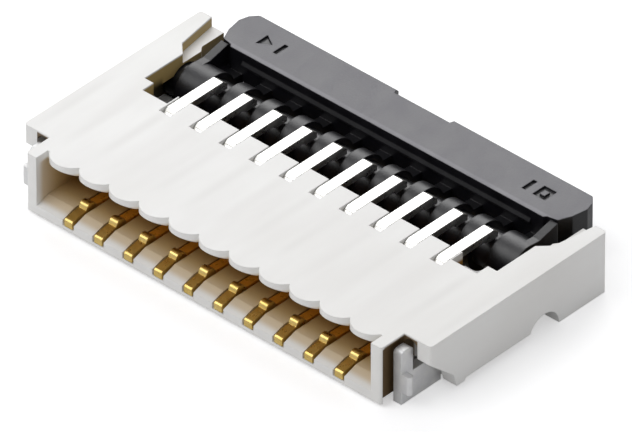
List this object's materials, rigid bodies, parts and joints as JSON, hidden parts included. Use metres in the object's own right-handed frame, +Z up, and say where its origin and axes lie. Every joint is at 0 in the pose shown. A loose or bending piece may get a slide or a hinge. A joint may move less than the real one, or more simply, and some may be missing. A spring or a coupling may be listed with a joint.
{
  "type": "fpc connector",
  "caption": "Low right-angle surface-mount connector for a flat flexible cable, with sprung contacts in a moulded housing and a lock bar at the back that flips up.",
  "frame": {"origin": "on the board plane, under the middle of the part's bounding box with the lock bar closed", "axes": "+X along the row of contacts, -Y out of the cable slot, +Y to the lock bar and solder tails, +Z up from the board"},
  "size_m": [0.0068, 0.004, 0.0009],
  "materials": {
    "housing_plastic": "natural off-white moulded liquid crystal polymer, satin",
    "bar_plastic": "black moulded plastic, satin",
    "contact_metal": "gold plated phosphor bronze at the contact points and tails, nickel elsewhere",
    "tab_metal": "matt tin plated brass sheet"
  },
  "bodies": {
    "housing": {"housing": "housing_plastic", "contact_01": "contact_metal", "contact_02": "contact_metal", "contact_03": "contact_metal", "contact_04": "contact_metal", "contact_05": "contact_metal", "contact_06": "contact_metal", "contact_07": "contact_metal", "contact_08": "contact_metal", "contact_09": "contact_metal", "contact_10": "contact_metal", "solder_tab_left": "tab_metal", "solder_tab_right": "tab_metal"},
    "actuator": {"actuator": "bar_plastic"}
  },
  "joints": [
    {"name": "actuator_hinge", "type": "hinge", "parent": "housing", "child": "actuator", "pos_m": [0, 0.00078, 0.00047], "axis": [1, 0, 0], "range_deg": [0, 90]}
  ]
}
